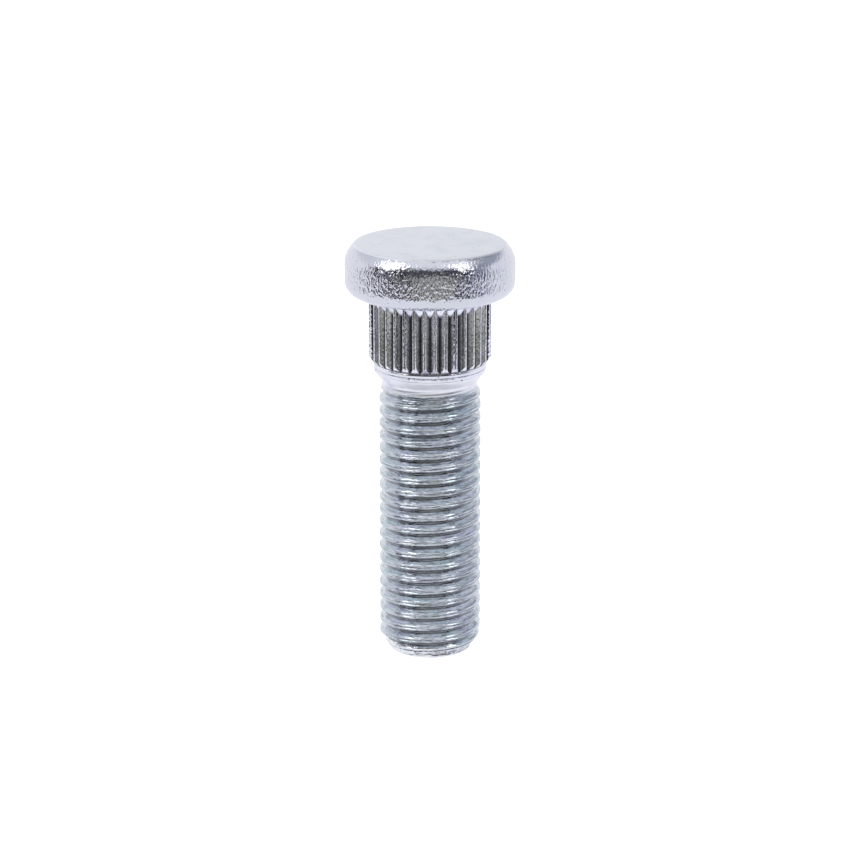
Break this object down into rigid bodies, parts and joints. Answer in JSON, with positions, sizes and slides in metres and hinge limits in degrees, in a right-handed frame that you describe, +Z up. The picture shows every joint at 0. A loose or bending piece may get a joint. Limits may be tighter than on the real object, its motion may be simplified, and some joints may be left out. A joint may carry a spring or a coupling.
{
  "type": "wheel stud",
  "caption": "Zinc-plated press-in wheel stud with a round head, a straight serrated collar, a waisted neck and a metric fine-thread shank.",
  "frame": {"origin": "centre of the end face of the threaded shank, on the stud's axis, where the stud stands", "axes": "+Z up along the axis from the threaded end to the head; -Y the side seen in the picture, with a groove of the serrations facing it; +X to the right of that view"},
  "size_m": [0.0198, 0.0198, 0.0493],
  "materials": {
    "plated_steel": "bright zinc plating on forged and rolled steel"
  },
  "bodies": {
    "root": {"wheel_stud": "plated_steel"}
  },
  "joints": []
}
